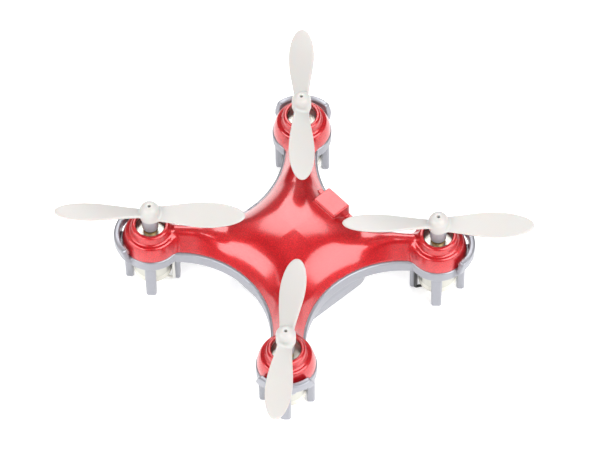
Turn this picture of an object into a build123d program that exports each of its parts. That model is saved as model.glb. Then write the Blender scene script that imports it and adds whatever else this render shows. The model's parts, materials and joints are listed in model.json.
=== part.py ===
"""Palm-size quadcopter: two moulded shells on four arms, four coreless motors with two-blade propellers.

Millimetres, +Z up. The origin is on the ground under the middle of the body. +Y is the front, and the
charging hood is on the rear (-Y) side. Each arm is built once along +X and turned to its diagonal.
"""

import os
from math import asin, cos, degrees, pi, radians, sin, sqrt, tan

from build123d import *

# ---- driving dimensions -------------------------------------------------------------------------
MOTOR_DIAGONAL = 45.2  # motor axis to motor axis across the body
PROP_DIAMETER = 30.0
MOTOR_DIAMETER = 6.0
SEAM_Z = 9.4  # where the two shells meet
CROWN_Z = 14.0  # top of the body
WALL = 0.7  # shell wall
GAP = 0.3  # play around anything that moves

ARM = MOTOR_DIAGONAL / 2
ARM_ANGLES = {"front_right": 45.0, "front_left": 135.0, "rear_left": -135.0, "rear_right": -45.0}
BLADE_ANGLES = {"front_right": 45.8, "front_left": 131.5, "rear_left": 46.6, "rear_right": 138.2}
CLOCKWISE = ("front_left", "rear_right")

# ---- body outline: four concave sides, each an arc about a point outside the body ------------------
SIDE_RADIUS = 15.5
WAIST = 9.85  # middle of a side from the centre
SIDE_CENTRE = WAIST + SIDE_RADIUS
SIDE_SLOPE = 55.0  # slope of the shell's flank at the seam, from the horizontal
SHOULDER_REACH = 5.4  # from the seam edge in to where the shoulder turns into the dome
DOME_SLOPE = 13.0  # slope where they meet
CREST_START = 10.2  # along an arm from the centre, where its round back leaves the dome
CREST_TOP = 12.95
CREST_R = 2.4
LIP = 0.3  # the lower shell stands this far outside the upper one

# ---- motor pods ------------------------------------------------------------------------------------
MOTOR_R = MOTOR_DIAMETER / 2
MOTOR_BOTTOM = 1.8
MOTOR_TOP = 12.2
BORE_R = MOTOR_R + 0.05
CAP_R = 4.6
CAP_HOLE_R = 2.3
CAP_TOP = 13.6
COLLAR_R = CAP_R + 0.15
COLLAR_BOTTOM = 7.5
LEG_OUTER_R = 4.35
LEG_WIDTH = 1.8
GUARD_INNER_R = 4.95
GUARD_OUTER_R = 5.85
GUARD_TOP = 11.3
GUARD_SPAN = 50.0  # half angle of the guard about the arm's line
GUARD_END_SLOPE = 65.0
WINDOW_TOP = 9.7
WINDOW_END = 40.0  # angle from the arm's line where a window under the guard stops

# ---- lower shell -----------------------------------------------------------------------------------
BAND_BOTTOM = 6.9
BELLY_BOTTOM = 2.0
BELLY_X = 9.45
BELLY_Y = 8.5
BELLY_CORNER = 2.5
BELLY_CREASE_Z = 5.0
BELLY_DRAFT = 8.0

# ---- screws, board and battery ---------------------------------------------------------------------
SCREW_REACH = 14.0
BOSS_R = 1.15
SCREW_R = 0.5
SCREW_HEAD_R = 0.95
SCREW_HEAD_TOP = 7.7
SCREW_TOP = 11.4
BOARD_X = 17.0
BOARD_Y = 16.0
BOARD_THICK = 0.6
BOARD_BOTTOM = SEAM_Z - BOARD_THICK
CELL_SIZE = (14.0, 11.5, 4.8)
CELL_X = -0.9
PAD_THICK = 0.4
BELLY_FLOOR = BELLY_BOTTOM + WALL + 0.1
CELL_BOTTOM = BELLY_FLOOR + PAD_THICK
TAPE_WIDTH = 2.6
WIRE_R = 0.25

# ---- charging hood and socket, power switch ----------------------------------------------------------
HOOD_X = 2.4
HOOD_OUT = 9.6
HOOD_IN = 6.2
HOOD_TOP = 13.5
LEDGE_X = 4.3
LEDGE_IN = 8.4
LEDGE_TOP = 11.4
SOCKET_SIZE = (3.2, 3.4, 2.6)
SWITCH_SIZE = (2.0, 6.4, 1.4)
SWITCH_TRAVEL = 1.5
KNOB_SIZE = (1.6, 0.8)

# ---- propeller ---------------------------------------------------------------------------------------
SHAFT_R = 0.4
SHAFT_TOP = 17.6
BLADE_Z = 16.35
HUB_TOP = 18.4
HUB_R = 1.52
SKIRT_R = 1.4
SKIRT_BOTTOM = 13.4
BLADE_CHORD = 4.35
ROOT_CHORD = 2.4
WIDEST = 0.6  # share of the radius where the blade is widest
ROOT_PITCH = 26.0
TIP_PITCH = 9.0


def on_arm(shape, name):
    """A shape modelled with its motor axis on Z and the arm pointing along +X, moved to its arm."""
    angle = ARM_ANGLES[name]
    return Rot(0, 0, angle) * Pos(ARM, 0, 0) * shape


def around(shape, angles):
    """Copies of a shape turned about Z."""
    return [Rot(0, 0, angle) * shape for angle in angles]


def cylinder(radius, bottom, top):
    return Pos(0, 0, bottom) * Cylinder(radius, top - bottom, align=(Align.CENTER, Align.CENTER, Align.MIN))


def block(x0, x1, y0, y1, z0, z1):
    centre = Pos((x0 + x1) / 2, (y0 + y1) / 2, (z0 + z1) / 2)
    return centre * Box(x1 - x0, y1 - y0, z1 - z0)


def together(shapes):
    """Separate solids that share one node."""
    return Compound([solid for shape in shapes for solid in shape.solids()])


def turned(points, arc=360.0):
    """A solid of revolution about Z from (radius, height) corners."""
    profile = make_face(Polyline(*[(r, 0, z) for r, z in points], close=True))
    return revolve(profile, Axis.Z, revolution_arc=arc)


# ---- body ----------------------------------------------------------------------------------------------
def half_width(along, inset):
    """Half the arm's width at a distance along the diagonal, with the sides moved in by inset."""
    centre = SIDE_CENTRE / sqrt(2)
    return centre - sqrt((SIDE_RADIUS + inset) ** 2 - (along - centre) ** 2)


def star(inset, reach):
    """The body outline: four concave arcs joined across the arm ends at the given reach."""
    across = half_width(reach, inset)
    near = (reach - across) / sqrt(2)
    far = (reach + across) / sqrt(2)
    waist = WAIST - inset
    edges = []
    for quarter in range(4):
        side = ThreePointArc((near, far, 0), (0, waist, 0), (-near, far, 0))
        end = Line((-near, far, 0), (-far, near, 0))
        edges += [Rot(0, 0, 90 * quarter) * side, Rot(0, 0, 90 * quarter) * end]
    return make_face(Wire(edges))


def crown_cutter(inset):
    """What is cleared away outside one flank: a body turned about that side's own centre."""
    steep = radians(SIDE_SLOPE)
    gentle = radians(DOME_SLOPE)
    dome_r = (WAIST - SHOULDER_REACH) / sin(gentle)
    rise = CROWN_Z - SEAM_Z - dome_r * (1 - cos(gentle))
    turn = (sin(steep) - sin(gentle)) * tan(steep) - cos(gentle) + cos(steep)
    shoulder_r = (SHOULDER_REACH * tan(steep) - rise) / turn
    apart = dome_r - shoulder_r
    dome_centre = (SIDE_CENTRE, CROWN_Z - dome_r)
    shoulder_centre = (dome_centre[0] - apart * sin(gentle), dome_centre[1] + apart * cos(gentle))

    def on_arc(centre, radius, angle):
        return (centre[0] - (radius - inset) * sin(angle), 0, centre[1] + (radius - inset) * cos(angle))

    bend = on_arc(shoulder_centre, shoulder_r, steep)
    join = on_arc(shoulder_centre, shoulder_r, gentle)
    top = on_arc(dome_centre, dome_r, 0)
    foot_z = SEAM_Z - 1.0
    foot = (bend[0] - (bend[2] - foot_z) / tan(steep), 0, foot_z)
    flank = Polyline((0, 0, foot_z), foot, bend)
    shoulder = ThreePointArc(bend, on_arc(shoulder_centre, shoulder_r, (steep + gentle) / 2), join)
    dome = ThreePointArc(join, on_arc(dome_centre, dome_r, gentle / 2), top)
    back = Polyline(top, (SIDE_CENTRE, 0, CROWN_Z + 1), (0, 0, CROWN_Z + 1), (0, 0, foot_z))
    profile = make_face(Wire([*flank.edges(), shoulder, dome, *back.edges()]))
    return Pos(0, SIDE_CENTRE, 0) * revolve(profile, Axis.Z)


def crowned_body(inset, reach):
    """The upper body, or with an inset the room inside it."""
    outline = star(inset / sin(radians(SIDE_SLOPE)), reach)
    prism = Pos(0, 0, SEAM_Z) * extrude(outline, CROWN_Z - inset - SEAM_Z)
    return prism - around(crown_cutter(inset), (0, 90, 180, 270))


def arm_crest():
    """The round back of one arm, from inside the dome to the motor axis."""
    reach = ARM - CREST_START
    bar = Pos(-reach / 2, 0, CREST_TOP - CREST_R) * Rot(0, 90, 0) * Cylinder(CREST_R, reach)
    return bar - block(-ARM, 1, -CREST_R, CREST_R, 0, SEAM_Z)


def pod_cap():
    """The stepped red cap over one motor, turned about the motor axis."""
    outer = [
        (0, SEAM_Z), (CAP_R, SEAM_Z), (CAP_R - 0.05, SEAM_Z + 1.0), (CAP_R - 0.3, SEAM_Z + 1.9),
        (3.95, 12.0), (3.75, 12.2), (3.4, 12.35), (3.2, 12.65), (3.05, 13.3), (2.9, CAP_TOP - 0.08),
        (2.7, CAP_TOP), (0, CAP_TOP)]
    return turned(outer)


def cap_bore():
    """The motor's room in the cap, and the round opening that the propeller's skirt stands in."""
    room = cylinder(BORE_R, SEAM_Z - 1, MOTOR_TOP + 0.15)
    opening = cylinder(CAP_HOLE_R, SEAM_Z, CAP_TOP + 1)
    return room + opening


def upper_shell():
    outer = crowned_body(0, ARM)
    outer += [on_arm(arm_crest() + pod_cap(), name) for name in ARM_ANGLES]
    hood = block(-HOOD_X, HOOD_X, -HOOD_OUT, -HOOD_IN, SEAM_Z, HOOD_TOP)
    hood = fillet(hood.edges().filter_by(Axis.Z).group_by(Axis.Y)[0], 0.4)
    ledge = block(-LEDGE_X, LEDGE_X, -HOOD_OUT, -LEDGE_IN, SEAM_Z, LEDGE_TOP)
    ledge = fillet(ledge.edges().filter_by(Axis.Z).group_by(Axis.Y)[0], 0.3)
    outer += [hood, ledge]
    room = crowned_body(WALL, ARM - CAP_R)
    hood_room = block(-HOOD_X + WALL, HOOD_X - WALL, -HOOD_OUT - 1, -HOOD_IN, SEAM_Z, HOOD_TOP - WALL)
    inner = room + hood_room
    boss = Pos(SCREW_REACH - ARM, 0, 0) * cylinder(BOSS_R, SEAM_Z, CROWN_Z)
    inner -= [on_arm(boss, name) for name in ARM_ANGLES]
    shell = outer - inner
    shell -= [on_arm(cap_bore(), name) for name in ARM_ANGLES]
    shell -= [on_arm(lead_slots(SEAM_Z - 1, SEAM_Z + 0.4), name) for name in ARM_ANGLES]
    screw_hole = Pos(SCREW_REACH - ARM, 0, 0) * cylinder(SCREW_R, SEAM_Z - 1, SCREW_TOP)
    return shell - [on_arm(screw_hole, name) for name in ARM_ANGLES]


# ---- lower shell -------------------------------------------------------------------------------------
LEAD_X = -3.45  # where the motor leads rise, seen from the motor axis
LEAD_Y = 1.45


def lead_slots(bottom, top):
    """Room for the two leads from beside the inner leg into the arm."""
    reach = ARM - 17.5
    slot = block(-reach, LEAD_X + 0.35, LEAD_Y - 0.35, LEAD_Y + 0.35, bottom, top)
    return slot + mirror(slot, Plane.XZ)


def leg():
    """One foot post of a pod, standing out along +X."""
    half = LEG_WIDTH / 2
    post = block(BORE_R, LEG_OUTER_R, -half, half, 0, COLLAR_BOTTOM + 0.2)
    outer_edges = post.edges().filter_by(Axis.Z).group_by(Axis.X)[-1]
    post = fillet(outer_edges, 0.6)
    post = chamfer(post.edges().group_by(Axis.Z)[0], 0.2)
    return post - cylinder(BORE_R, -1, COLLAR_BOTTOM + 1)


def guard():
    """The raised bumper outside a pod, with sloped ends and a window each side of the outer leg."""
    wall = turned([
        (BORE_R, COLLAR_BOTTOM), (COLLAR_R, COLLAR_BOTTOM), (GUARD_OUTER_R, WINDOW_TOP - 0.4),
        (GUARD_OUTER_R, GUARD_TOP - 0.15), (GUARD_OUTER_R - 0.15, GUARD_TOP), (GUARD_INNER_R, GUARD_TOP),
        (GUARD_INNER_R, SEAM_Z), (BORE_R, SEAM_Z)], 2 * GUARD_SPAN)
    wall = Rot(0, 0, -GUARD_SPAN) * wall
    cut_size = 6.0
    above = Pos(0, 0, cut_size / 2) * Box(cut_size, cut_size, cut_size)
    for sign in (1, -1):
        end = Rot(0, 0, sign * GUARD_SPAN) * Pos(GUARD_OUTER_R, 0, SEAM_Z)
        wall -= end * Rot(-sign * GUARD_END_SLOPE, 0, 0) * above
    return wall


def window():
    """The openings under the guard, between the outer leg and the side legs."""
    leg_angle = degrees(asin(LEG_WIDTH / 2 / BORE_R))
    opening = turned([(BORE_R - 0.2, COLLAR_BOTTOM - 1), (GUARD_OUTER_R + 1, COLLAR_BOTTOM - 1),
                      (GUARD_OUTER_R + 1, WINDOW_TOP), (BORE_R - 0.2, WINDOW_TOP)], WINDOW_END - leg_angle)
    opening = Rot(0, 0, leg_angle) * opening
    return opening + mirror(opening, Plane.XZ)


def belly(inset, bottom, top):
    """The battery box under the body, drafted below its crease."""
    half_x = BELLY_X - inset
    half_y = BELLY_Y - inset
    outline = Pos(0, 0, BELLY_CREASE_Z) * RectangleRounded(2 * half_x, 2 * half_y, BELLY_CORNER - inset)
    upper = extrude(outline, top - BELLY_CREASE_Z)
    lower = extrude(outline, bottom - BELLY_CREASE_Z, taper=BELLY_DRAFT)
    return upper + lower


def lower_shell():
    tray = Pos(0, 0, BAND_BOTTOM) * extrude(star(-LIP, ARM), SEAM_Z - BAND_BOTTOM)
    underside = tray.edges().group_by(Axis.Z)[0].filter_by(GeomType.CIRCLE)
    tray = fillet(underside, 0.6)
    box = belly(0, BELLY_BOTTOM, BAND_BOTTOM + 0.5)
    box = fillet(box.edges().group_by(Axis.Z)[0], 0.7)
    shell = tray + box
    room = Pos(0, 0, BAND_BOTTOM + WALL) * extrude(star(WALL, ARM - CAP_R), SEAM_Z - BAND_BOTTOM)
    room -= [on_arm(Pos(SCREW_REACH - ARM, 0, 0) * cylinder(BOSS_R, BAND_BOTTOM, SEAM_Z), name)
             for name in ARM_ANGLES]
    room += belly(WALL + 0.1, BELLY_FLOOR, SEAM_Z)
    shell -= room
    for x in (-1, 1):
        for y in (-1, 1):
            shell += Pos(8.0 * x, 7.4 * y, 0) * cylinder(0.5, BAND_BOTTOM + 0.2, BOARD_BOTTOM)
    collar = cylinder(COLLAR_R, COLLAR_BOTTOM, SEAM_Z) + guard()
    collar = collar - cylinder(BORE_R, COLLAR_BOTTOM - 1, SEAM_Z + 1) - window()
    pod = collar + around(leg(), (0, 90, 180, 270))
    for name in ARM_ANGLES:
        shell -= on_arm(cylinder(COLLAR_R, BAND_BOTTOM - 1, SEAM_Z + 1), name)
        shell += on_arm(pod, name)
        shell -= on_arm(cylinder(BORE_R, BAND_BOTTOM - 1, SEAM_Z + 1), name)
        shell -= on_arm(lead_slots(BAND_BOTTOM + WALL, SEAM_Z + 1), name)
        shell -= on_arm(lead_holes(), name)
        shell -= on_arm(screw_recess(), name)
    slot_y = SWITCH_TRAVEL / 2 + KNOB_SIZE[0] / 2 + GAP
    middle_z = BOARD_BOTTOM - SWITCH_SIZE[2] / 2
    half_z = KNOB_SIZE[1] / 2 + GAP
    return shell - block(BELLY_X - 1.5, WAIST + 1, -slot_y, slot_y, middle_z - half_z, middle_z + half_z)


def lead_holes():
    """The two round holes that the motor leads come up through, beside the inner leg."""
    hole = Pos(LEAD_X, LEAD_Y, 0) * cylinder(WIRE_R + 0.1, BAND_BOTTOM - 1, SEAM_Z)
    return hole + mirror(hole, Plane.XZ)


def screw_recess():
    head = cylinder(SCREW_HEAD_R + 0.1, BAND_BOTTOM - 1, SCREW_HEAD_TOP)
    shank = cylinder(SCREW_R + 0.05, BAND_BOTTOM, SEAM_Z + 1)
    return Pos(SCREW_REACH - ARM, 0, 0) * (head + shank)


def case_screws():
    """Four small self-tapping screws, driven from below, each with a cross recess."""
    head = cylinder(SCREW_HEAD_R, SCREW_HEAD_TOP - 0.6, SCREW_HEAD_TOP)
    head = fillet(head.edges().group_by(Axis.Z)[0], 0.25)
    slot = Box(1.1, 0.25, 0.6)
    cross = Pos(0, 0, SCREW_HEAD_TOP - 0.6) * (slot + Rot(0, 0, 90) * slot)
    shank = cylinder(SCREW_R, SCREW_HEAD_TOP - 0.1, SCREW_TOP - 0.6)
    point = Pos(0, 0, SCREW_TOP - 0.4) * Cone(SCREW_R, 0.1, 0.4)
    screw = Pos(SCREW_REACH - ARM, 0, 0) * (head + shank + point - cross)
    return together([on_arm(screw, name) for name in ARM_ANGLES])


# ---- motors --------------------------------------------------------------------------------------------
CAN_WALL = 0.25
END_CAP_TOP = 3.2
BUSHING_R = 0.9
ROTOR_R = 2.35
ROTOR_WALL = 0.3
MAGNET_R = 1.75


def motor_can():
    shell = cylinder(MOTOR_R, END_CAP_TOP, MOTOR_TOP)
    shell = fillet(shell.edges().group_by(Axis.Z)[-1], 0.25)
    shell -= cylinder(MOTOR_R - CAN_WALL, END_CAP_TOP - 1, MOTOR_TOP - 0.4)
    return shell - cylinder(BUSHING_R, MOTOR_TOP - 1, MOTOR_TOP + 1)


def motor_end_cap():
    cap = cylinder(MOTOR_R, MOTOR_BOTTOM, END_CAP_TOP)
    cap = chamfer(cap.edges().group_by(Axis.Z)[0], 0.25)
    spigot = cylinder(MOTOR_R - CAN_WALL, END_CAP_TOP, END_CAP_TOP + 0.5)
    recess = cylinder(ROTOR_R, END_CAP_TOP - 0.6, END_CAP_TOP + 1)
    boss = cylinder(0.9, MOTOR_BOTTOM - 0.2, MOTOR_BOTTOM + 0.2)
    return cap + spigot - recess + boss


def motor_bushing():
    """The front bearing: a flanged sleeve in the can's top plate."""
    sleeve = cylinder(BUSHING_R, MOTOR_TOP - 1.4, MOTOR_TOP)
    nose = cylinder(BUSHING_R + 0.25, MOTOR_TOP, MOTOR_TOP + 0.4)
    return sleeve + nose - cylinder(SHAFT_R + 0.02, MOTOR_TOP - 2, MOTOR_TOP + 1)


def motor_magnet():
    magnet = cylinder(MAGNET_R, END_CAP_TOP + 1.8, MOTOR_TOP - 1.4)
    return magnet - cylinder(SHAFT_R + 0.25, END_CAP_TOP, MOTOR_TOP)


def motor_rotor():
    """The coreless winding: a thin cup around the magnet, on a hub that the shaft is fixed in."""
    bottom = END_CAP_TOP + 0.6
    cup = cylinder(ROTOR_R, bottom, MOTOR_TOP - 1.2)
    cup -= cylinder(ROTOR_R - ROTOR_WALL, bottom + 0.8, MOTOR_TOP)
    commutator = cylinder(0.8, END_CAP_TOP - 0.4, bottom)
    return cup + commutator - cylinder(SHAFT_R, END_CAP_TOP - 1, bottom + 1)


def motor_shaft():
    shaft = cylinder(SHAFT_R, END_CAP_TOP - 0.4, SHAFT_TOP)
    return chamfer(shaft.edges().group_by(Axis.Z)[-1], 0.1)


def lead(side):
    """One motor lead from the end cap, up beside the inner leg and along the arm to the board."""
    start_x = -1.6
    start_y = 0.9 * side
    side_y = LEAD_Y * side
    under_z = MOTOR_BOTTOM - 0.55
    run_z = SEAM_Z - WIRE_R - 0.15
    over_z = SEAM_Z + WIRE_R + 0.3
    path = FilletPolyline(
        (start_x, start_y, MOTOR_BOTTOM), (start_x, start_y, under_z), (LEAD_X, side_y, under_z),
        (LEAD_X, side_y, run_z), (12.6 - ARM, side_y, run_z), (11.4 - ARM, side_y, over_z),
        (9.5 - ARM, side_y, SEAM_Z + WIRE_R), radius=0.3)
    start = Plane(origin=path @ 0, z_dir=path % 0)
    return sweep(start * Circle(WIRE_R), path)


def motor_leads():
    return together([lead(1), lead(-1)])


# ---- propeller -------------------------------------------------------------------------------------------
def chord(share):
    """Blade width at a share of the radius: an elliptical tip and a narrowing root."""
    if share > WIDEST:
        return BLADE_CHORD * sqrt(max(0.0, 1 - ((share - WIDEST) / (1 - WIDEST)) ** 2))
    blend = (1 - cos(pi * share / WIDEST)) / 2
    return ROOT_CHORD + (BLADE_CHORD - ROOT_CHORD) * blend


def blade(hand):
    """One twisted blade along +X. hand is -1 for a propeller that turns clockwise seen from above, else 1."""
    radius = PROP_DIAMETER / 2
    sections = []
    for share in (0.05, 0.2, 0.35, 0.5, 0.65, 0.78, 0.88, 0.95, 0.985, 0.998):
        pitch = ROOT_PITCH + (TIP_PITCH - ROOT_PITCH) * share
        thick = 0.62 - 0.22 * share
        plane = Plane(origin=(share * radius, 0, BLADE_Z), x_dir=(0, 1, 0), z_dir=(1, 0, 0))
        section = Rot(0, 0, -pitch) * Ellipse(chord(share) / 2, thick / 2)
        sections.append(plane * section)
    clockwise = loft(sections)
    return clockwise if hand < 0 else mirror(clockwise, Plane.XZ)


def hub():
    """The hub's dome and skirt, with the tiny opening over the shaft's end."""
    body = cylinder(HUB_R, BLADE_Z - 1.0, HUB_TOP)
    body = fillet(body.edges().group_by(Axis.Z)[-1], HUB_R - 0.35)
    body = chamfer(body.edges().group_by(Axis.Z)[0], 0.1)
    skirt = cylinder(SKIRT_R, SKIRT_BOTTOM, BLADE_Z)
    skirt = chamfer(skirt.edges().group_by(Axis.Z)[0], 0.1)
    bore = cylinder(SHAFT_R, SKIRT_BOTTOM - 1, SHAFT_TOP)
    return body + skirt, bore + cylinder(0.26, SHAFT_TOP, HUB_TOP + 1)


def propeller(name):
    hand = -1 if name in CLOCKWISE else 1
    solid, bore = hub()
    one = blade(hand)
    turned_back = BLADE_ANGLES[name] - ARM_ANGLES[name]
    return Rot(0, 0, turned_back) * (solid + one + Rot(0, 0, 180) * one - bore)


# ---- electronics -----------------------------------------------------------------------------------------
def circuit_board():
    outline = RectangleRounded(BOARD_X, BOARD_Y, 1.0)
    notch = Pos(0, BOARD_Y / 2, 0) * Rectangle(4.4, 2.4)
    return Pos(0, 0, BOARD_BOTTOM) * extrude(outline - notch, BOARD_THICK)


def chip(x, y, size_x, size_y, height):
    body = block(x - size_x / 2, x + size_x / 2, y - size_y / 2, y + size_y / 2, SEAM_Z, SEAM_Z + height)
    return chamfer(body.edges().group_by(Axis.Z)[-1], 0.1)


def board_passives():
    """Small capacitors and resistors in rows beside the chips."""
    spots = [(x, y) for x in (-6.6, 6.6) for y in (-3.6, -1.8, 0.0, 1.8, 3.6)]
    spots += [(x, y) for x in (-2.7, 2.7) for y in (-5.2, -3.4, 4.6)]
    return together([chip(x, y, 1.0, 0.5, 0.4) for x, y in spots])


def motor_drivers():
    """Four small transistors, one near each corner of the board."""
    return together([chip(4.8 * x, 4.7 * y, 1.4, 0.9, 0.6) for x in (-1, 1) for y in (-1, 1)])


def leds(front):
    y = 6.9 if front else -6.9
    return together([chip(4.6 * x, y, 1.6, 0.8, 0.6) for x in (-1, 1)])


def charge_socket():
    """A two-pin socket, open to the rear under the hood."""
    width, depth, height = SOCKET_SIZE
    outer = -HOOD_OUT + 0.15
    body = block(-width / 2, width / 2, outer, outer + depth, SEAM_Z, SEAM_Z + height)
    side, back, floor = 0.4, 0.7, 0.5
    mouth = block(-width / 2 + side, width / 2 - side, outer - 1, outer + depth - back,
                  SEAM_Z + floor, SEAM_Z + height - floor)
    return body - mouth


def charge_pins():
    depth = SOCKET_SIZE[1]
    outer = -HOOD_OUT + 0.15
    middle = SEAM_Z + SOCKET_SIZE[2] / 2
    pins = []
    for x in (-0.6, 0.6):
        pins.append(block(x - 0.2, x + 0.2, outer + 0.6, outer + depth - 0.7, middle - 0.2, middle + 0.2))
    return together(pins)


def switch_box():
    depth, length, height = SWITCH_SIZE
    outer = BELLY_X - WALL - 0.2
    return outer - depth, outer, length / 2, BOARD_BOTTOM - height


def power_switch_body():
    """The slide switch's metal case under the board, with its slot facing the side wall."""
    inner, outer, half, bottom = switch_box()
    case = block(inner, outer, -half, half, bottom, BOARD_BOTTOM)
    middle = (bottom + BOARD_BOTTOM) / 2
    slot_y = SWITCH_TRAVEL / 2 + KNOB_SIZE[0] / 2 + 0.1
    half_z = KNOB_SIZE[1] / 2 + 0.1
    return case - block(inner + 0.5, outer + 1, -slot_y, slot_y, middle - half_z, middle + half_z)


def power_switch_slider():
    """The switch's knob at the off end of its travel. It moves along +Y to switch on."""
    inner, _, _, bottom = switch_box()
    middle = (bottom + BOARD_BOTTOM) / 2
    y = -SWITCH_TRAVEL / 2
    length, height = KNOB_SIZE
    end = WAIST + LIP + 0.55
    knob = block(inner + 0.6, end, y - length / 2, y + length / 2, middle - height / 2, middle + height / 2)
    return fillet(knob.edges().group_by(Axis.X)[-1], 0.2)


def battery_pad():
    length, width, _ = CELL_SIZE
    margin = 1.0
    half_y = width / 2 - margin
    end = CELL_X + length / 2 - TAPE_WIDTH - 0.2
    return block(CELL_X - length / 2 + margin, end, -half_y, half_y, CELL_BOTTOM - PAD_THICK, CELL_BOTTOM)


def battery_cell():
    length, width, height = CELL_SIZE
    half_x = length / 2
    cell = block(CELL_X - half_x, CELL_X + half_x, -width / 2, width / 2, CELL_BOTTOM, CELL_BOTTOM + height)
    return fillet(cell.edges().filter_by(Axis.X), 1.2)


def battery_tape():
    """The insulating tape round the cell's terminal end."""
    length, width, height = CELL_SIZE
    thick = 0.08
    end = CELL_X + length / 2
    sleeve = block(end - TAPE_WIDTH, end, -width / 2 - thick, width / 2 + thick,
                   CELL_BOTTOM - thick, CELL_BOTTOM + height + thick)
    sleeve = fillet(sleeve.edges().filter_by(Axis.X), 1.2)
    return sleeve - battery_cell()


def battery_leads():
    """The cell's two leads, out of its front side and up through the board's notch."""
    edge = CELL_SIZE[1] / 2 + 0.08
    rise_y = 7.25
    z = 6.4
    leads = []
    for x in (-1.0, 1.0):
        path = FilletPolyline((x, edge, z), (x, rise_y, z), (x, rise_y, SEAM_Z + 0.75),
                              (x, 6.1, SEAM_Z + 0.75), (x, 5.6, SEAM_Z + WIRE_R), radius=0.3)
        start = Plane(origin=path @ 0, z_dir=path % 0)
        leads.append(sweep(start * Circle(WIRE_R), path))
    return together(leads)


def arm_nodes(name):
    """Every piece of one motor and its propeller, by node name."""
    pieces = {
        "motor_can": motor_can(), "motor_end_cap": motor_end_cap(), "motor_bushing": motor_bushing(),
        "motor_magnet": motor_magnet(), "motor_rotor": motor_rotor(), "motor_shaft": motor_shaft(),
        "motor_leads": motor_leads(), "propeller": propeller(name)}
    return {f"{piece}_{name}": on_arm(shape, name) for piece, shape in pieces.items()}


def all_nodes():
    nodes = {
        "upper_shell": upper_shell(), "lower_shell": lower_shell(), "case_screws": case_screws(),
        "circuit_board": circuit_board(), "mcu_chip": chip(-2.6, 0.6, 4, 4, 0.8),
        "radio_chip": chip(2.8, 0.6, 3.5, 3.5, 0.7), "gyro_chip": chip(0.2, -2.9, 3, 3, 0.8),
        "crystal": chip(0.2, 4.0, 2.5, 2.0, 0.6), "board_passives": board_passives(),
        "motor_drivers": motor_drivers(), "front_leds": leds(True), "rear_leds": leds(False),
        "charge_socket": charge_socket(), "charge_pins": charge_pins(),
        "power_switch_body": power_switch_body(), "power_switch_slider": power_switch_slider(),
        "battery_cell": battery_cell(), "battery_tape": battery_tape(), "battery_pad": battery_pad(),
        "battery_leads": battery_leads()}
    for name in ARM_ANGLES:
        nodes.update(arm_nodes(name))
    return nodes


os.makedirs("parts", exist_ok=True)
for node, shape in all_nodes().items():
    export_step(shape, f"parts/{node}.step")
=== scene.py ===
"""Mini palm drone, with its visible shells and propellers remade as smooth moulded skins.

Each skin is the zero surface of a distance field, worked out in millimetres in the part's own frame and
written to a mesh in metres. Every other piece is the CAD node itself, with a procedural material.
"""

import json
import math

import bpy
import numpy as np
from mathutils import Matrix, Vector


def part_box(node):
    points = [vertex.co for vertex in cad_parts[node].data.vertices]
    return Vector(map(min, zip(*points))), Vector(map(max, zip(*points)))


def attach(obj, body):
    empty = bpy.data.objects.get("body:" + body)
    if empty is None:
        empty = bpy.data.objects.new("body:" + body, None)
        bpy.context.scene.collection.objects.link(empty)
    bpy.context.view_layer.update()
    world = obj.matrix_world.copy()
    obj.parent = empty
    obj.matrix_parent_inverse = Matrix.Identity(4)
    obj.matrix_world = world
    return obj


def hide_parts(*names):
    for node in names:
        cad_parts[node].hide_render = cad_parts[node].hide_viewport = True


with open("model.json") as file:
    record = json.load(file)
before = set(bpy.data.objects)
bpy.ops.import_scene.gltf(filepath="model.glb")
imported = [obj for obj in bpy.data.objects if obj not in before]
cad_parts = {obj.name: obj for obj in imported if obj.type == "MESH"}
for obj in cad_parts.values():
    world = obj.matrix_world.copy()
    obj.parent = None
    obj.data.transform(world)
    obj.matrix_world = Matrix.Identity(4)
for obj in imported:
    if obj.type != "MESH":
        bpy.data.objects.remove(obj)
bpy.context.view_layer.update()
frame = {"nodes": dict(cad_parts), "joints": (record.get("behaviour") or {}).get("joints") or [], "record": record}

MM = 0.001


def low(node):
    """The low corner of a CAD node's box, in millimetres."""
    return [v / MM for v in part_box(node)[0]]


def high(node):
    """The high corner of a CAD node's box, in millimetres."""
    return [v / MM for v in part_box(node)[1]]


# ---- sizes that the frame gives, in millimetres ----------------------------------------------------
SPINS = {
    joint["child"]: [v / MM for v in joint["pos_m"]]
    for joint in frame["joints"] if joint["type"] == "hinge"
}
ARM = math.hypot(*SPINS["rotor_front_right"][:2])
SEAM = low("upper_shell")[2]
CROWN = high("upper_shell")[2]
GUARD_TOP = high("lower_shell")[2]
MOTOR_R = (high("motor_can_front_right")[0] - low("motor_can_front_right")[0]) / 2
HUB_TOP = high("propeller_front_right")[2]
BLADE_Z = SPINS["rotor_front_right"][2]

# ---- sizes repeated from the CAD source, in millimetres --------------------------------------------
SIDE_RADIUS = 15.5
WAIST = 9.85
SIDE_CENTRE = WAIST + SIDE_RADIUS
WALL = 0.7
CAP_R = 4.6
CAP_TOP = 13.6
BORE_R = MOTOR_R + 0.05
PROP_R = 15.0

# ---- sizes of the skins that both shells share, in millimetres -------------------------------------
SEAM_EDGE = 0.12
SHARP_RIDGE = 0.01


# ---- distance-field tools --------------------------------------------------------------------------
def join_round(a, b, radius):
    """Union of two fields with a fillet."""
    near = np.sqrt(np.maximum(radius - a, 0) ** 2 + np.maximum(radius - b, 0) ** 2)
    return np.maximum(radius, np.minimum(a, b)) - near


def cut_round(a, b, radius):
    """Intersection of two fields with a rounded edge."""
    near = np.sqrt(np.maximum(radius + a, 0) ** 2 + np.maximum(radius + b, 0) ** 2)
    return np.minimum(-radius, np.maximum(a, b)) + near


def soft_min(a, b, width):
    """The smaller of two values, blended where they are within the width of each other."""
    blend = np.clip(0.5 + 0.5 * (b - a) / width, 0, 1)
    return b + (a - b) * blend - width * blend * (1 - blend)


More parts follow.
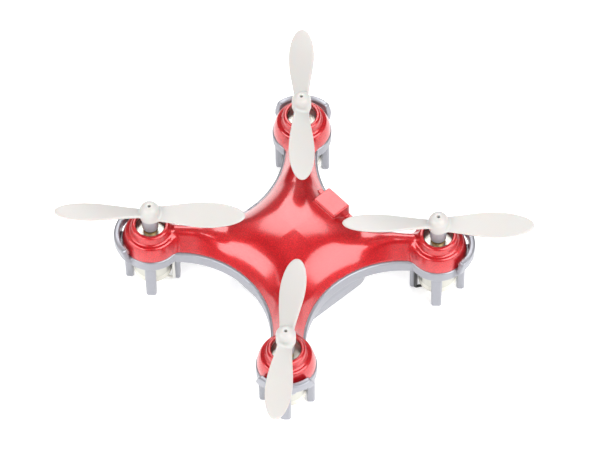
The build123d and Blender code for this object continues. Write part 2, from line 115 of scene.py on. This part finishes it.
def smooth_step(value, start, end):
    """0 at the start and 1 at the end, with a level run at both."""
    share = np.clip((value - start) / (end - start), 0, 1)
    return share * share * (3 - 2 * share)


def rounded_box(x, y, z, half, radius):
    """A box about the origin with rounded edges."""
    parts = [np.abs(v) - h + radius for v, h in zip((x, y, z), half)]
    outside = np.sqrt(sum(np.maximum(p, 0) ** 2 for p in parts))
    return outside + np.minimum(np.maximum.reduce(parts), 0) - radius


def net(field, corner, opposite, step):
    """A closed quad mesh of the field's zero surface, by surface nets."""
    axes = [np.arange(a - 2 * step, b + 3 * step, step) for a, b in zip(corner, opposite)]
    grid = field(*np.meshgrid(*axes, indexing="ij"))
    inside = grid < 0
    count = sum(inside[i:i - 1 or None, j:j - 1 or None, k:k - 1 or None].astype(np.int8)
                for i in (0, 1) for j in (0, 1) for k in (0, 1))
    active = (count > 0) & (count < 8)
    ids = np.full(active.shape, -1)
    ids[active] = np.arange(active.sum())
    total = np.zeros((active.sum(), 3))
    hits = np.zeros(active.sum())
    quads = []
    for axis in range(3):
        first = np.moveaxis(grid, axis, 0)[:-1]
        second = np.moveaxis(grid, axis, 0)[1:]
        crossing = np.nonzero((first < 0) != (second < 0))
        share = first[crossing] / (first[crossing] - second[crossing])
        entering = first[crossing] >= 0
        i, j, k = crossing
        b, c = [n for n in range(3) if n != axis]
        cells = np.moveaxis(ids, axis, 0)
        ring = [cells[i, j - 1, k - 1], cells[i, j, k - 1], cells[i, j, k], cells[i, j - 1, k]]
        point = np.empty((len(i), 3))
        point[:, axis] = axes[axis][i] + share * step
        point[:, b] = axes[b][j]
        point[:, c] = axes[c][k]
        for cell in ring:
            for n in range(3):
                total[:, n] += np.bincount(cell, point[:, n], len(hits))
            hits += np.bincount(cell, minlength=len(hits))
        faces = np.stack(ring, 1)
        turn = entering if axis != 1 else ~entering
        faces[turn] = faces[turn][:, ::-1]
        quads.append(faces)
    return total / hits[:, None], np.concatenate(quads)


SETTLE_ROUNDS = 4
SLOPE_STEP = 1e-3
LEAST_SQUARE_SLOPE = 0.05


def settle(points, field, reach):
    """Moves net points onto the field's exact surface, along its slope and no further than reach."""
    start = points.copy()
    for _ in range(SETTLE_ROUNDS):
        value = field(*points.T)
        slope = np.empty_like(points)
        for axis in range(3):
            ahead = points.copy()
            behind = points.copy()
            ahead[:, axis] += SLOPE_STEP
            behind[:, axis] -= SLOPE_STEP
            slope[:, axis] = (field(*ahead.T) - field(*behind.T)) / (2 * SLOPE_STEP)
        size = np.maximum((slope ** 2).sum(1), LEAST_SQUARE_SLOPE)
        points = points - slope * (value / size)[:, None]
        points = start + np.clip(points - start, -reach, reach)
    return points


def skin_mesh(field, corner, opposite, step):
    """Points, in millimetres, and faces of the field's zero surface."""
    points, faces = net(field, corner, opposite, step)
    return settle(points, field, step), faces


def mesh_object(name, points, faces, material):
    """A smooth-shaded mesh object from millimetre points."""
    mesh = bpy.data.meshes.new(name)
    mesh.from_pydata((np.asarray(points) * MM).tolist(), [], np.asarray(faces).tolist())
    mesh.validate()
    mesh.polygons.foreach_set("use_smooth", [True] * len(mesh.polygons))
    mesh.materials.append(material)
    obj = bpy.data.objects.new(name, mesh)
    bpy.context.scene.collection.objects.link(obj)
    return obj


# ---- outline that both shells share ----------------------------------------------------------------
def pod_place(x, y):
    """Distance out along the nearest arm from its motor axis, across it, and from the axis."""
    u, v = np.abs(x), np.abs(y)
    along = (u + v) / math.sqrt(2) - ARM
    across = (v - u) / math.sqrt(2)
    return along, across, np.hypot(along, across)


def side_distance(x, y, ridge):
    """How far a point lies inside the nearest concave side, softened over the arm's middle line."""
    u, v = np.abs(x), np.abs(y)
    one = np.hypot(u, v - SIDE_CENTRE) - SIDE_RADIUS
    other = np.hypot(u - SIDE_CENTRE, v) - SIDE_RADIUS
    return soft_min(one, other, ridge)


# ---- upper shell -----------------------------------------------------------------------------------
# slope at the seam, reach of the shoulder, slope where the dome starts, softness of the ridge
BODY_FORM = (math.radians(55), 5.4, math.radians(13), 4.5)
ARM_FORM = (math.radians(63), 2.8, math.radians(12), 1.8)
# distances from the middle of the body at which the arm's form starts to take over, and has done so
ARM_STARTS, ARM_FORMED = 10.0, 16.0

DRUM_BULGE_R, DRUM_TOP, DRUM_EDGE = 5.73, 12.15, 0.22
RING_R, RING_LEVEL, RING_LEAN, RING_EDGE = 3.27, 12.2, 0.2, 0.28
RING_FILLET, CAP_FILLET = 0.35, 0.7
MOTOR_ROOM_TOP = 12.35
CAP_HOLE_R, CAP_HOLE_EDGE = 2.3, 0.2

HOOD_X, HOOD_OUT, HOOD_IN, HOOD_TOP, HOOD_EDGE = 2.4, 9.6, 6.2, 13.5, 0.18
LEDGE_X, LEDGE_IN, LEDGE_TOP, LEDGE_EDGE = 4.3, 8.4, 11.4, 0.15
LEDGE_FILLET, HOOD_FILLET = 0.08, 0.12
# half the height of the hood's and the ledge's blocks, so that both end below the seam
BLOCK_HALF = 3.0
PORT_REACH, PORT_EDGE = 1.4, 0.1


def crown_field(x, y, z):
    """Under the crowned top: a steep flank, a round shoulder and a gently domed crown."""
    body = smooth_step(np.hypot(x, y), ARM_FORMED, ARM_STARTS)
    form = [arm + (middle - arm) * body for middle, arm in zip(BODY_FORM, ARM_FORM)]
    steep, reach, gentle, ridge = form
    dome_r = (WAIST - reach) / np.sin(gentle)
    rise = CROWN - SEAM - dome_r * (1 - np.cos(gentle))
    turn = (np.sin(steep) - np.sin(gentle)) * np.tan(steep) - np.cos(gentle) + np.cos(steep)
    shoulder_r = (reach * np.tan(steep) - rise) / turn
    apart = dome_r - shoulder_r
    inset = WAIST - side_distance(x, y, ridge)
    level = z - CROWN + dome_r
    dome = np.hypot(inset, level) - dome_r
    inset = inset - apart * np.sin(gentle)
    level = level - apart * np.cos(gentle)
    lean = np.arctan2(inset, level)
    bend = np.clip(lean, gentle, steep)
    shoulder = np.sin(bend) * inset + np.cos(bend) * level - shoulder_r
    return np.where(lean < gentle, dome, shoulder)


def cap_field(radial, z):
    """The stepped cap of a pod, turned about the motor axis: a bulging drum and a leaning ring on it."""
    drum = np.hypot(radial - CAP_R + DRUM_BULGE_R, z - SEAM) - DRUM_BULGE_R
    drum = cut_round(drum, z - DRUM_TOP, DRUM_EDGE)
    wall = (radial - RING_R + RING_LEAN * (z - RING_LEVEL)) * math.cos(RING_LEAN)
    ring = cut_round(wall, z - CAP_TOP, RING_EDGE)
    return join_round(drum, ring, RING_FILLET)


def outer_block(x, y, z, half_x, inner, top, edge):
    """A block that runs in from the hood's outer face."""
    half = (half_x, (HOOD_OUT - inner) / 2, BLOCK_HALF)
    return rounded_box(x, y + (HOOD_OUT + inner) / 2, z - top + BLOCK_HALF, half, edge)


def hood_field(x, y, z):
    """The flat-topped hood over the charge socket, with a low ledge each side."""
    hood = outer_block(x, y, z, HOOD_X, HOOD_IN, HOOD_TOP, HOOD_EDGE)
    ledge = outer_block(x, y, z, LEDGE_X, LEDGE_IN, LEDGE_TOP, LEDGE_EDGE)
    return join_round(hood, ledge, LEDGE_FILLET)


def upper_skin(x, y, z):
    """The red shell's outer surface, without its cut at the seam."""
    radial = pod_place(x, y)[2]
    body = np.maximum(crown_field(x, y, z), -side_distance(x, y, SHARP_RIDGE))
    body = np.maximum(body, np.abs(x) + np.abs(y) - ARM * math.sqrt(2))
    body = join_round(body, cap_field(radial, z), CAP_FILLET)
    return join_round(body, hood_field(x, y, z), HOOD_FILLET)


def upper_shell_field(x, y, z):
    """The red shell: its skin hollowed to the wall, with the motors' rooms, cap holes and charge port."""
    radial = pod_place(x, y)[2]
    skin = upper_skin(x, y, z)
    shell = cut_round(skin, SEAM - z, SEAM_EDGE)
    shell = np.maximum(shell, -(skin + WALL))
    shell = np.maximum(shell, -np.maximum(radial - BORE_R, z - MOTOR_ROOM_TOP))
    shell = cut_round(shell, CAP_HOLE_R - radial, CAP_HOLE_EDGE)
    port_half = (HOOD_X - WALL, PORT_REACH, HOOD_TOP - WALL - SEAM)
    port = rounded_box(x, y + HOOD_OUT, z - SEAM, port_half, PORT_EDGE)
    return np.maximum(shell, -port)


# ---- lower shell -----------------------------------------------------------------------------------
LIP = 0.3
BAND_BOTTOM, BAND_EDGE = 6.9, 0.6
COLLAR_R = CAP_R + 0.15
COLLAR_BOTTOM, COLLAR_EDGE = 7.5, 0.15

LEG_OUTER_R, LEG_WIDTH, LEG_EDGE = 4.35, 1.8, 0.4
LEG_TAPER = 0.1
LEG_SINK = 0.2

GUARD_INNER_R, GUARD_OUTER_R, GUARD_EDGE = 4.95, 5.85, 0.15
GUARD_FALL = (math.radians(43), math.radians(62))
# keeps the field even where the guard's top slopes
GUARD_TOP_SCALE = 0.8

WINDOW_TOP, WINDOW_CORNER = 9.7, 0.3
WINDOW_SPAN = (math.radians(17.5), math.radians(40))
WINDOW_OVERCUT = 0.2

BELLY_BOTTOM = 2.0
BELLY_X, BELLY_Y, BELLY_CORNER, BELLY_CREASE = 9.45, 8.5, 2.5, 5.0
BELLY_DRAFT = math.radians(8)
BELLY_WALL, BELLY_EDGE, BELLY_FILLET = 0.8, 0.7, 0.3

# holes: the leads' and the screws' along each arm, and the power switch's in the side
LEAD_PLACE, LEAD_HOLE_R = (-3.45, 1.45), 0.4
SCREW_REACH, SCREW_RECESS_R, SCREW_RECESS_TOP = 14.0, 1.05, 7.7
SWITCH_LEVEL, SWITCH_HALF, SWITCH_CORNER = 8.1, (1.9, 1.85, 0.7), 0.2


def guard_field(along, across, radial, z):
    """The raised bumper outside a pod: its top falls in a soft curve to the collar at each end."""
    angle = np.abs(np.arctan2(across, along))
    top = GUARD_TOP - (GUARD_TOP - COLLAR_BOTTOM) * smooth_step(angle, *GUARD_FALL)
    flare = smooth_step(z, COLLAR_BOTTOM, WINDOW_TOP)
    outside = radial - COLLAR_R - (GUARD_OUTER_R - COLLAR_R) * flare
    wall = cut_round(outside, (z - top) * GUARD_TOP_SCALE, GUARD_EDGE)
    wall = np.maximum(wall, COLLAR_BOTTOM - z)
    return cut_round(wall, np.minimum(GUARD_INNER_R - radial, z - SEAM), SEAM_EDGE)


def window_field(along, across, radial, z):
    """The openings under the guard, one each side of the outer leg."""
    middle, half = sum(WINDOW_SPAN) / 2, (WINDOW_SPAN[1] - WINDOW_SPAN[0]) / 2
    angle = np.abs(np.arctan2(across, along))
    opening = cut_round((np.abs(angle - middle) - half) * radial, z - WINDOW_TOP, WINDOW_CORNER)
    return np.maximum(opening, BORE_R - WINDOW_OVERCUT - radial)


def legs_field(along, across, z):
    """Four round-edged posts, slightly narrower at the foot."""
    height = COLLAR_BOTTOM + LEG_SINK
    middle, half = (BORE_R + LEG_OUTER_R) / 2, (LEG_OUTER_R - BORE_R) / 2
    taper = 1 + LEG_TAPER * (1 - z / height)
    size = (half, LEG_WIDTH / 2, height / 2)
    pair = rounded_box(np.abs(along) - middle, across * taper, z - height / 2, size, LEG_EDGE)
    other = rounded_box(np.abs(across) - middle, along * taper, z - height / 2, size, LEG_EDGE)
    return np.minimum(pair, other)


def belly_field(x, y, z, inset, bottom):
    """The battery box: drafted below its crease, with rounded corners and bottom edge."""
    drawn_in = inset + np.maximum(BELLY_CREASE - z, 0) * math.tan(BELLY_DRAFT)
    corner = BELLY_CORNER - inset
    out_x = np.abs(x) - BELLY_X + drawn_in + corner
    out_y = np.abs(y) - BELLY_Y + drawn_in + corner
    outline = np.hypot(np.maximum(out_x, 0), np.maximum(out_y, 0)) - corner
    outline = outline + np.minimum(np.maximum(out_x, out_y), 0)
    return cut_round(outline, bottom - z, BELLY_EDGE)


def tray_field(x, y, z):
    """The band under the seam, out to the motor axes, with the battery box below it, both hollowed."""
    side = side_distance(x, y, SHARP_RIDGE)
    reach = (np.abs(x) + np.abs(y)) / math.sqrt(2) - ARM
    band = cut_round(np.maximum(-side - LIP, reach), BAND_BOTTOM - z, BAND_EDGE)
    room = np.maximum(np.maximum(WALL - side, BAND_BOTTOM + WALL - z), reach + CAP_R)
    tray = join_round(band, belly_field(x, y, z, 0, BELLY_BOTTOM), BELLY_FILLET)
    room = np.minimum(room, belly_field(x, y, z, BELLY_WALL, BELLY_BOTTOM + BELLY_WALL))
    return np.maximum(tray, -room)


def lower_shell_field(x, y, z):
    """The silver shell: tray, motor collars, guards and legs, with its holes."""
    along, across, radial = pod_place(x, y)
    shell = np.maximum(tray_field(x, y, z), COLLAR_R - radial)
    shell = np.minimum(shell, cut_round(radial - COLLAR_R, COLLAR_BOTTOM - z, COLLAR_EDGE))
    shell = cut_round(shell, z - SEAM, SEAM_EDGE)
    shell = np.minimum(shell, guard_field(along, across, radial, z))
    shell = np.maximum(shell, -window_field(along, across, radial, z))
    shell = np.maximum(np.minimum(shell, legs_field(along, across, z)), BORE_R - radial)
    lead_hole = np.hypot(along - LEAD_PLACE[0], np.abs(across) - LEAD_PLACE[1]) - LEAD_HOLE_R
    recess = np.hypot(along - SCREW_REACH + ARM, across) - SCREW_RECESS_R
    recess = np.maximum(recess, z - SCREW_RECESS_TOP)
    slot = rounded_box(x - WAIST, y, z - SWITCH_LEVEL, SWITCH_HALF, SWITCH_CORNER)
    for hole in (lead_hole, recess, slot):
        shell = np.maximum(shell, -hole)
    return shell


# ---- propellers ------------------------------------------------------------------------------------
BLADE_CHORD, ROOT_CHORD, WIDEST = 4.35, 2.4, 0.6
ROOT_PITCH, TIP_PITCH = math.radians(26), math.radians(9)
# half thickness at the root, what it loses by the tip, and the share that the long edges lose
BLADE_HALF, TIP_LOSS, EDGE_LOSS = 0.26, 0.06, 0.25
BLADE_FILLET = 0.45
HUB_R, HUB_BOTTOM, HUB_DOME, HUB_EDGE = 1.55, 15.5, 1.15, 0.2
# the skirt reaches a little lower than the CAD's
SKIRT_BOTTOM = low("propeller_front_right")[2] - 0.4
SKIRT_R, SKIRT_EDGE = 1.28, 0.1
SHAFT_R, SHAFT_TOP, TOP_HOLE_R = 0.4, 17.6, 0.26
BLADE_ANGLES = {"front_right": 45.8, "front_left": 131.5, "rear_left": 46.6, "rear_right": 138.2}
CLOCKWISE = ("front_left", "rear_right")


def blade_field(x, y, z, hand):
    """Both twisted leaf blades along X: an even skin about a pitched middle surface."""
    reach = np.abs(x)
    width = y * np.sign(x) * -hand
    share = np.clip(reach / PROP_R, 0, 1)
    pitch = ROOT_PITCH + (TIP_PITCH - ROOT_PITCH) * share
    lift = z - BLADE_Z
    flat = width * np.cos(pitch) - lift * np.sin(pitch)
    normal = width * np.sin(pitch) + lift * np.cos(pitch)
    root = ROOT_CHORD + (BLADE_CHORD - ROOT_CHORD) * smooth_step(share, 0, WIDEST)
    inner = np.abs(flat) - root / 2
    tip_length = PROP_R * (1 - WIDEST)
    oval = np.hypot(np.maximum(reach - PROP_R * WIDEST, 0) / tip_length, flat / (BLADE_CHORD / 2))
    tip = (oval - 1) * BLADE_CHORD / 2
    outline = np.where(share < WIDEST, inner, tip)
    half = BLADE_HALF - TIP_LOSS * share
    crown = half * (1 - EDGE_LOSS * np.clip(flat / (BLADE_CHORD / 2), -1, 1) ** 2)
    return np.hypot(np.maximum(outline + half, 0), normal) - crown


def propeller_field(hand):
    """The field of a propeller of one hand: domed hub, skirt and two blades, bored for the shaft."""
    def field(x, y, z):
        radial = np.hypot(x, y)
        dome = cut_round(radial - HUB_R, z - HUB_TOP, HUB_DOME)
        dome = cut_round(dome, HUB_BOTTOM - z, HUB_EDGE)
        skirt = cut_round(radial - SKIRT_R, SKIRT_BOTTOM - z, SKIRT_EDGE)
        skirt = np.maximum(skirt, z - BLADE_Z)
        solid = np.minimum(join_round(dome, blade_field(x, y, z, hand), BLADE_FILLET), skirt)
        bore = np.minimum(np.maximum(radial - SHAFT_R, z - SHAFT_TOP), radial - TOP_HOLE_R)
        return np.maximum(solid, -bore)
    return field


# ---- materials -------------------------------------------------------------------------------------
def new_material(name):
    """A material with its nodes, its links and its shader."""
    material = bpy.data.materials.new(name)
    material.use_nodes = True
    tree = material.node_tree
    return material, tree.nodes, tree.links, tree.nodes["Principled BSDF"]


def texture_space(nodes, links):
    """Object coordinates in millimetres."""
    place = nodes.new("ShaderNodeTexCoord")
    mapping = nodes.new("ShaderNodeMapping")
    mapping.inputs["Scale"].default_value = (1 / MM, 1 / MM, 1 / MM)
    links.new(place.outputs["Object"], mapping.inputs["Vector"])
    return mapping.outputs["Vector"]


def two_tone(nodes, links, factor, first, second):
    """A ramp from one colour to another, driven by the factor."""
    ramp = nodes.new("ShaderNodeValToRGB")
    ramp.color_ramp.elements[0].color = (*first, 1)
    ramp.color_ramp.elements[1].color = (*second, 1)
    links.new(factor, ramp.inputs["Fac"])
    return ramp


def add_gloss(nodes, links, shader, value, least, most):
    """Roughness between two values."""
    gloss = nodes.new("ShaderNodeMapRange")
    gloss.inputs["To Min"].default_value = least
    gloss.inputs["To Max"].default_value = most
    links.new(value, gloss.inputs["Value"])
    links.new(gloss.outputs["Result"], shader.inputs["Roughness"])


def add_relief(nodes, links, shader, height, strength, distance):
    """A bump of the shader's normal, its distance in millimetres."""
    bump = nodes.new("ShaderNodeBump")
    bump.inputs["Strength"].default_value = strength
    bump.inputs["Distance"].default_value = distance * MM
    links.new(height, bump.inputs["Height"])
    links.new(bump.outputs["Normal"], shader.inputs["Normal"])


def flake_paint():
    """Glossy red with metallic flakes under a clear coat."""
    material, nodes, links, shader = new_material("red_flake_gloss")
    flakes = nodes.new("ShaderNodeTexVoronoi")
    flakes.inputs["Scale"].default_value = 11.0
    links.new(texture_space(nodes, links), flakes.inputs["Vector"])
    split = nodes.new("ShaderNodeSeparateColor")
    links.new(flakes.outputs["Color"], split.inputs["Color"])
    ramp = two_tone(nodes, links, split.outputs["Red"], (0.33, 0.001, 0.005), (0.74, 0.003, 0.009))
    links.new(ramp.outputs["Color"], shader.inputs["Base Color"])
    add_relief(nodes, links, shader, split.outputs["Green"], strength=0.10, distance=0.05)
    shader.inputs["Metallic"].default_value = 0.45
    shader.inputs["Roughness"].default_value = 0.38
    shader.inputs["Coat Weight"].default_value = 1.0
    shader.inputs["Coat Roughness"].default_value = 0.15
    shader.inputs["Coat IOR"].default_value = 1.62
    return material


MOTTLE_DARK, MOTTLE_LIGHT = 0.94, 1.05
GLOSS_BELOW, GLOSS_ABOVE = 0.05, 0.07
FINE_GRAIN = 8


def worked_material(name, colour, roughness, metallic, grain, stretch, relief):
    """Moulded, painted or worked: mottled slightly in colour and gloss, with a fine grain in relief."""
    material, nodes, links, shader = new_material(name)
    run = nodes.new("ShaderNodeMapping")
    run.inputs["Scale"].default_value = (1, 1, 1 / stretch)
    links.new(texture_space(nodes, links), run.inputs["Vector"])
    mottle = nodes.new("ShaderNodeTexNoise")
    mottle.inputs["Scale"].default_value = grain
    mottle.inputs["Detail"].default_value = 6
    links.new(run.outputs["Vector"], mottle.inputs["Vector"])
    dark = [c * MOTTLE_DARK for c in colour]
    light = [min(1, c * MOTTLE_LIGHT) for c in colour]
    tint = two_tone(nodes, links, mottle.outputs["Fac"], dark, light)
    links.new(tint.outputs["Color"], shader.inputs["Base Color"])
    add_gloss(nodes, links, shader, mottle.outputs["Fac"], roughness - GLOSS_BELOW, roughness + GLOSS_ABOVE)
    fine = nodes.new("ShaderNodeTexNoise")
    fine.inputs["Scale"].default_value = grain * FINE_GRAIN
    links.new(run.outputs["Vector"], fine.inputs["Vector"])
    add_relief(nodes, links, shader, fine.outputs["Fac"], strength=relief, distance=0.1)
    shader.inputs["Metallic"].default_value = metallic
    return material


def board_material():
    """Green solder mask with paler copper tracks under it."""
    material, nodes, links, shader = new_material("circuit_green")
    tracks = nodes.new("ShaderNodeTexBrick")
    tracks.inputs["Scale"].default_value = 0.5
    tracks.inputs["Mortar Size"].default_value = 0.03
    tracks.inputs["Color1"].default_value = (0.012, 0.12, 0.05, 1)
    tracks.inputs["Color2"].default_value = (0.016, 0.15, 0.06, 1)
    tracks.inputs["Mortar"].default_value = (0.05, 0.28, 0.12, 1)
    links.new(texture_space(nodes, links), tracks.inputs["Vector"])
    links.new(tracks.outputs["Color"], shader.inputs["Base Color"])
    shader.inputs["Roughness"].default_value = 0.3
    return material


def propeller_material():
    """Off-white plastic, with painted shade on the skirt below the hub, which is coloured darker and greyer."""
    material, nodes, links, shader = new_material("propeller_milky")
    space = texture_space(nodes, links)
    split = nodes.new("ShaderNodeSeparateXYZ")
    links.new(space, split.inputs["Vector"])
    # painted shade: the colour darkens from the hub's bottom down over the skirt, standing in for the shade that
    # the hub and blades cast on it
    height = nodes.new("ShaderNodeMapRange")
    height.inputs["From Min"].default_value = HUB_BOTTOM - 0.2
    height.inputs["From Max"].default_value = HUB_BOTTOM + 0.3
    links.new(split.outputs["Z"], height.inputs["Value"])
    tint = two_tone(nodes, links, height.outputs["Result"], (0.37, 0.36, 0.385), (0.54, 0.53, 0.51))
    links.new(tint.outputs["Color"], shader.inputs["Base Color"])
    cloud = nodes.new("ShaderNodeTexNoise")
    cloud.inputs["Scale"].default_value = 0.4
    links.new(space, cloud.inputs["Vector"])
    add_gloss(nodes, links, shader, cloud.outputs["Fac"], 0.28, 0.42)
    shader.inputs["Subsurface Weight"].default_value = 0.25
    shader.inputs["Subsurface Scale"].default_value = 0.8 * MM
    return material


def lead_material(arm, place):
    """Black insulation on one lead of a motor and white on the other, parted by the arm's middle line."""
    material, nodes, links, shader = new_material("lead_pair_" + arm)
    turned = nodes.new("ShaderNodeMapping")
    turned.inputs["Rotation"].default_value = (0, 0, -math.atan2(place[1], place[0]))
    links.new(texture_space(nodes, links), turned.inputs["Vector"])
    split = nodes.new("ShaderNodeSeparateXYZ")
    links.new(turned.outputs["Vector"], split.inputs["Vector"])
    tint = two_tone(nodes, links, split.outputs["Y"], (0.015, 0.015, 0.016), (0.75, 0.74, 0.70))
    tint.color_ramp.interpolation = "CONSTANT"
    tint.color_ramp.elements[1].position = 0.001
    links.new(tint.outputs["Color"], shader.inputs["Base Color"])
    shader.inputs["Roughness"].default_value = 0.45
    return material


# slot: colour, roughness, metallic, grain per mm, stretch along Z, relief
LOOKS = {
    "silver_shell": ((0.33, 0.335, 0.37), 0.30, 0.5, 1.5, 1, 0.008),
    "motor_steel": ((0.55, 0.545, 0.49), 0.30, 0.85, 2.0, 6, 0.04),
    "motor_cap_plastic": ((0.72, 0.70, 0.62), 0.45, 0.0, 1.5, 1, 0.05),
    "bearing_brass": ((0.60, 0.44, 0.20), 0.40, 0.9, 3.0, 1, 0.10),
    "magnet_nickel": ((0.55, 0.54, 0.52), 0.22, 1.0, 1.0, 1, 0.02),
    "copper_winding": ((0.55, 0.22, 0.10), 0.35, 0.8, 4.0, 0.2, 0.30),
    "shaft_steel": ((0.58, 0.58, 0.59), 0.20, 1.0, 2.0, 8, 0.03),
    "chip_black": ((0.025, 0.025, 0.028), 0.50, 0.0, 4.0, 1, 0.15),
    "crystal_can": ((0.62, 0.61, 0.58), 0.28, 0.95, 1.5, 1, 0.04),
    "ceramic_parts": ((0.42, 0.33, 0.24), 0.50, 0.0, 3.0, 1, 0.05),
    "led_blue": ((0.35, 0.45, 0.85), 0.25, 0.0, 1.0, 1, 0.02),
    "led_red": ((0.85, 0.30, 0.28), 0.25, 0.0, 1.0, 1, 0.02),
    "socket_nylon": ((0.72, 0.70, 0.64), 0.50, 0.0, 1.5, 1, 0.06),
    "pin_gold": ((0.80, 0.58, 0.22), 0.25, 1.0, 2.0, 1, 0.02),
    "switch_metal": ((0.56, 0.56, 0.57), 0.32, 0.95, 2.0, 1, 0.05),
    "switch_knob": ((0.03, 0.03, 0.032), 0.42, 0.0, 2.0, 1, 0.10),
    "cell_foil": ((0.60, 0.61, 0.63), 0.28, 0.9, 0.6, 1, 0.35),
    "cell_tape": ((0.62, 0.36, 0.05), 0.22, 0.0, 1.0, 1, 0.10),
    "foam_pad": ((0.05, 0.05, 0.055), 0.90, 0.0, 5.0, 1, 0.60),
    "battery_wire": ((0.50, 0.02, 0.02), 0.42, 0.0, 2.0, 1, 0.05),
    "screw_steel": ((0.20, 0.20, 0.21), 0.32, 0.95, 2.0, 1, 0.05),
}


def all_materials():
    """One material for each slot, apart from the motor leads'."""
    materials = {slot: worked_material(slot, *look) for slot, look in LOOKS.items()}
    materials["red_shell"] = flake_paint()
    materials["board_green"] = board_material()
    materials["propeller_plastic"] = propeller_material()
    return materials


# ---- pieces ----------------------------------------------------------------------------------------
UPPER_STEP, LOWER_STEP, PROPELLER_STEP = 0.15, 0.2, 0.1


def finish_cad_nodes(materials):
    """Every node kept from the CAD takes its slot's material; the motor leads take one for each arm."""
    for part in frame["record"]["subparts"]:
        node, slot = part["node"], part["material_slot"]
        if slot == "lead_insulation":
            arm = node.removeprefix("motor_leads_")
            look = lead_material(arm, SPINS["rotor_" + arm])
        else:
            look = materials[slot]
        mesh = frame["nodes"][node].data
        mesh.materials.clear()
        mesh.materials.append(look)


def add_shell(node, slot, field, step, materials):
    """A shell skin that stands for its CAD node."""
    points, faces = skin_mesh(field, low(node), high(node), step)
    shell = mesh_object("moulded_" + node, points, faces, materials[slot])
    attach(shell, "airframe")
    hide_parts(node)


def add_propellers(material):
    """One mesh for each hand, placed over the four motor axes."""
    corner = (-PROP_R, -BLADE_CHORD / 2, SKIRT_BOTTOM)
    opposite = (PROP_R, BLADE_CHORD / 2, HUB_TOP)
    shapes = {hand: skin_mesh(propeller_field(hand), corner, opposite, PROPELLER_STEP) for hand in (-1, 1)}
    for arm, degrees in BLADE_ANGLES.items():
        points, faces = shapes[-1 if arm in CLOCKWISE else 1]
        axis = SPINS["rotor_" + arm]
        turn = math.radians(degrees)
        turned_x = (math.cos(turn), math.sin(turn), 0)
        turned_y = (-math.sin(turn), math.cos(turn), 0)
        spun = points @ np.array([turned_x, turned_y, (0, 0, 1)])
        piece = mesh_object("moulded_propeller_" + arm, spun + (axis[0], axis[1], 0), faces, material)
        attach(piece, "rotor_" + arm)
        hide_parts("propeller_" + arm)


# ---- camera, floor and light -----------------------------------------------------------------------
CAMERA_AZIMUTH, CAMERA_ELEVATION, CAMERA_ROLL = 229.09, 54.91, -1.1
CAMERA_DISTANCE = 0.7197
CAMERA_TARGET = (4.68, -5.33, 4.94)
CAMERA_LENS, CAMERA_SENSOR = 271.25, 36
FLOOR_HALF = 3.0
LAMP_DISTANCE = 0.55


def direction(azimuth, elevation):
    """Unit vector out from the body: azimuth in degrees from -Y towards +X, elevation above the floor."""
    turn, lift = math.radians(azimuth), math.radians(elevation)
    return Vector((math.sin(turn) * math.cos(lift), -math.cos(turn) * math.cos(lift), math.sin(lift)))


def add_camera():
    """The camera, aimed at its target in millimetres and rolled about its own axis."""
    data = bpy.data.cameras.new("camera")
    data.lens = CAMERA_LENS
    data.sensor_width = CAMERA_SENSOR
    camera = bpy.data.objects.new("camera", data)
    camera.location = direction(CAMERA_AZIMUTH, CAMERA_ELEVATION) * CAMERA_DISTANCE
    view = Vector(CAMERA_TARGET) * MM - camera.location
    aim = view.to_track_quat("-Z", "Y").to_matrix().to_4x4()
    roll = Matrix.Rotation(math.radians(CAMERA_ROLL), 4, "Z")
    camera.matrix_world = Matrix.Translation(camera.location) @ aim @ roll
    bpy.context.scene.collection.objects.link(camera)
    bpy.context.scene.camera = camera


def add_floor():
    """A plain white floor, lifted a little by its own glow."""
    size = FLOOR_HALF
    mesh = bpy.data.meshes.new("floor")
    corners = [(-size, -size, 0), (size, -size, 0), (size, size, 0), (-size, size, 0)]
    mesh.from_pydata(corners, [], [(0, 1, 2, 3)])
    material, _, _, shader = new_material("floor_white")
    shader.inputs["Base Color"].default_value = (0.9, 0.9, 0.9, 1)
    shader.inputs["Roughness"].default_value = 0.6
    shader.inputs["Emission Color"].default_value = (1, 1, 1, 1)
    shader.inputs["Emission Strength"].default_value = 0.4
    mesh.materials.append(material)
    floor = bpy.data.objects.new("floor", mesh)
    bpy.context.scene.collection.objects.link(floor)


def area_light(name, azimuth, elevation, size, power):
    """A soft box that faces the body."""
    back = direction(azimuth, elevation)
    data = bpy.data.lights.new(name, "AREA")
    data.shape = "RECTANGLE"
    data.size, data.size_y = size
    data.energy = power
    lamp = bpy.data.objects.new(name, data)
    lamp.location = back * LAMP_DISTANCE
    lamp.rotation_mode = "QUATERNION"
    lamp.rotation_quaternion = back.to_track_quat("Z", "Y")
    bpy.context.scene.collection.objects.link(lamp)


def add_lights():
    """An even world and three soft boxes, placed for the long reflections on the red shell."""
    world = bpy.data.worlds.new("studio")
    bpy.context.scene.world = world
    world.use_nodes = True
    background = world.node_tree.nodes["Background"]
    background.inputs["Color"].default_value = (1, 1, 1, 1)
    background.inputs["Strength"].default_value = 0.12
    area_light("right_box", azimuth=287, elevation=46, size=(0.46, 0.60), power=3.9)
    area_light("left_box", azimuth=168, elevation=38, size=(0.55, 0.32), power=2.7)
    area_light("back_box", azimuth=49, elevation=43, size=(0.26, 0.32), power=1.25)
    bpy.context.scene.view_settings.view_transform = "Standard"


def main():
    add_camera()
    add_floor()
    add_lights()
    materials = all_materials()
    finish_cad_nodes(materials)
    add_shell("upper_shell", "red_shell", upper_shell_field, UPPER_STEP, materials)
    add_shell("lower_shell", "silver_shell", lower_shell_field, LOWER_STEP, materials)
    add_propellers(materials["propeller_plastic"])


main()
